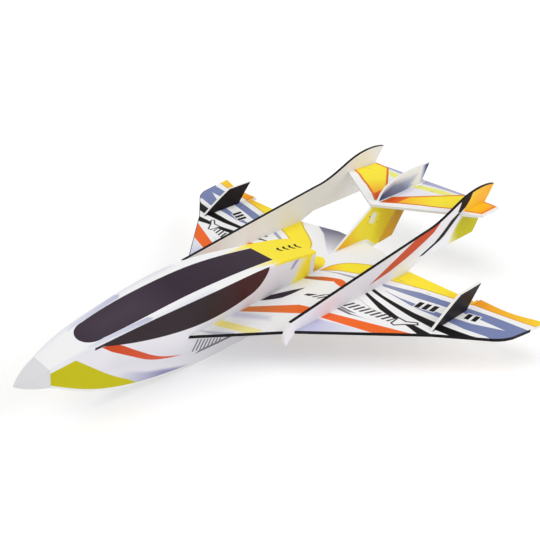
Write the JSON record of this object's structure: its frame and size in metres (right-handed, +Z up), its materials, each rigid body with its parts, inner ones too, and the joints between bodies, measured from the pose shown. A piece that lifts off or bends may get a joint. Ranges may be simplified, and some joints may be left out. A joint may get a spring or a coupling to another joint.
{
  "type": "twin boom foam board model jet",
  "caption": "Radio control jet of printed foam board: box fuselage with dark canopy, swept wing with raised winglets, and two booms carrying a high stabiliser and fins.",
  "frame": {"origin": "on the flat of the belly, on the centre line, below the kink of the wing's leading edge at the booms", "axes": "+X to port (the left wing), +Y aft along the longest side, +Z up, square to the wing's flat panel; the nose points to -Y"},
  "size_m": [0.812, 0.963, 0.1847],
  "materials": {
    "foam_board": "printed foam board, satin",
    "nose_foam": "moulded white foam",
    "canopy": "dark tinted, satin",
    "black_edging": "thin black edging",
    "white_plastic": "moulded nylon",
    "servo_case": "translucent blue case",
    "steel_wire": "bright wire",
    "carbon": "pultruded rod",
    "plywood": "thin plywood",
    "battery_wrap": "foil pouch cells in shrink wrap",
    "strap": "hook and loop strap",
    "electronics_case": "black case",
    "fan_plastic": "glass-filled nylon",
    "motor": "motor can",
    "duct_film": "thin plastic sheet tube"
  },
  "bodies": {
    "airframe": {"battery": "battery_wrap", "battery_strap": "strap", "belly_panel": "foam_board", "boom_edge_strip_left": "black_edging", "boom_edge_strip_right": "black_edging", "boom_left": "foam_board", "boom_right": "foam_board", "centre_fin": "foam_board", "centre_former": "foam_board", "elevator_servo": "servo_case", "equipment_tray": "plywood", "exhaust_tube": "duct_film", "fan_former": "foam_board", "fan_housing": "fan_plastic", "fan_motor": "motor", "hatch_ledge": "foam_board", "hinge_blocks": "white_plastic", "left_aileron_servo": "servo_case", "nose_cone": "nose_foam", "nose_former": "foam_board", "rear_former": "foam_board", "receiver": "electronics_case", "right_aileron_servo": "servo_case", "rudder_servo": "servo_case", "rudder_servo_cover": "white_plastic", "side_panel_left": "foam_board", "side_panel_right": "foam_board", "speed_controller": "electronics_case", "stabiliser": "foam_board", "top_panel": "foam_board", "upper_fin": "foam_board", "wing_edge_strip_left": "black_edging", "wing_edge_strip_right": "black_edging", "wing_left": "foam_board", "wing_right": "foam_board", "wing_spars": "carbon", "winglet_left": "foam_board", "winglet_right": "foam_board"},
    "aileron_left_body": {"aileron_left": "foam_board", "aileron_hinge_rod_left": "steel_wire", "left_aileron_horn": "white_plastic"},
    "aileron_right_body": {"aileron_right": "foam_board", "aileron_hinge_rod_right": "steel_wire", "right_aileron_horn": "white_plastic"},
    "elevator_body": {"elevator": "foam_board", "elevator_hinge_rod": "steel_wire", "elevator_horn": "white_plastic"},
    "rudder_body": {"rudder": "foam_board", "rudder_hinge_rod": "steel_wire", "rudder_horn": "white_plastic"},
    "fan_rotor_body": {"fan_rotor": "fan_plastic"},
    "canopy_body": {"canopy_hatch": "canopy"},
    "left_aileron_arm_body": {"left_aileron_servo_arm": "white_plastic"},
    "left_aileron_pushrod_body": {"left_aileron_pushrod": "steel_wire"},
    "right_aileron_arm_body": {"right_aileron_servo_arm": "white_plastic"},
    "right_aileron_pushrod_body": {"right_aileron_pushrod": "steel_wire"},
    "elevator_arm_body": {"elevator_servo_arm": "white_plastic"},
    "elevator_pushrod_body": {"elevator_pushrod": "steel_wire"},
    "rudder_arm_body": {"rudder_servo_arm": "white_plastic"},
    "rudder_pushrod_body": {"rudder_pushrod": "steel_wire"}
  },
  "joints": [
    {"name": "aileron_left_hinge", "type": "hinge", "parent": "airframe", "child": "aileron_left_body", "pos_m": [0.2, 0.262, 0.0725], "axis": [1, 0, 0], "range_deg": [-25, 25]},
    {"name": "left_aileron_arm_pivot", "type": "hinge", "parent": "airframe", "child": "left_aileron_arm_body", "pos_m": [0.2, 0.217, 0.064], "axis": [1, 0, 0], "range_deg": [-25, 25]},
    {"name": "left_aileron_pushrod_pivot", "type": "hinge", "parent": "left_aileron_arm_body", "child": "left_aileron_pushrod_body", "pos_m": [0.2, 0.217, 0.052], "axis": [1, 0, 0], "range_deg": [-25, 25]},
    {"name": "aileron_right_hinge", "type": "hinge", "parent": "airframe", "child": "aileron_right_body", "pos_m": [-0.2, 0.262, 0.0725], "axis": [1, 0, 0], "range_deg": [-25, 25]},
    {"name": "right_aileron_arm_pivot", "type": "hinge", "parent": "airframe", "child": "right_aileron_arm_body", "pos_m": [-0.2, 0.217, 0.064], "axis": [1, 0, 0], "range_deg": [-25, 25]},
    {"name": "right_aileron_pushrod_pivot", "type": "hinge", "parent": "right_aileron_arm_body", "child": "right_aileron_pushrod_body", "pos_m": [-0.2, 0.217, 0.052], "axis": [1, 0, 0], "range_deg": [-25, 25]},
    {"name": "elevator_hinge", "type": "hinge", "parent": "airframe", "child": "elevator_body", "pos_m": [-0.04, 0.49, 0.1425], "axis": [1, 0, 0], "range_deg": [-25, 25]},
    {"name": "elevator_arm_pivot", "type": "hinge", "parent": "airframe", "child": "elevator_arm_body", "pos_m": [-0.04, 0.442, 0.134], "axis": [1, 0, 0], "range_deg": [-25, 25]},
    {"name": "elevator_pushrod_pivot", "type": "hinge", "parent": "elevator_arm_body", "child": "elevator_pushrod_body", "pos_m": [-0.04, 0.442, 0.122], "axis": [1, 0, 0], "range_deg": [-25, 25]},
    {"name": "rudder_hinge", "type": "hinge", "parent": "airframe", "child": "rudder_body", "pos_m": [0, 0.39601, 0.06835], "axis": [0, 0.6267, 0.7792], "range_deg": [-25, 25]},
    {"name": "rudder_arm_pivot", "type": "hinge", "parent": "airframe", "child": "rudder_arm_body", "pos_m": [-0.0035, 0.35744, 0.09937], "axis": [0, 0.6267, 0.7792], "range_deg": [-25, 25]},
    {"name": "rudder_pushrod_pivot", "type": "hinge", "parent": "rudder_arm_body", "child": "rudder_pushrod_body", "pos_m": [-0.0155, 0.35744, 0.09937], "axis": [0, 0.6267, 0.7792], "range_deg": [-25, 25]},
    {"name": "fan_spin", "type": "hinge", "parent": "airframe", "child": "fan_rotor_body", "pos_m": [0, 0.096, 0.095], "axis": [0, 1, 0], "continuous": true},
    {"name": "canopy_lift", "type": "slide", "parent": "airframe", "child": "canopy_body", "axis": [0, 0, 1], "range_m": [0, 0.06]}
  ],
  "couplings": [
    {"joint": "left_aileron_arm_pivot", "follows": "aileron_left_hinge", "ratio": 1},
    {"joint": "left_aileron_pushrod_pivot", "follows": "aileron_left_hinge", "ratio": -1},
    {"joint": "right_aileron_arm_pivot", "follows": "aileron_right_hinge", "ratio": 1},
    {"joint": "right_aileron_pushrod_pivot", "follows": "aileron_right_hinge", "ratio": -1},
    {"joint": "elevator_arm_pivot", "follows": "elevator_hinge", "ratio": 1},
    {"joint": "elevator_pushrod_pivot", "follows": "elevator_hinge", "ratio": -1},
    {"joint": "rudder_arm_pivot", "follows": "rudder_hinge", "ratio": 1},
    {"joint": "rudder_pushrod_pivot", "follows": "rudder_hinge", "ratio": -1}
  ]
}
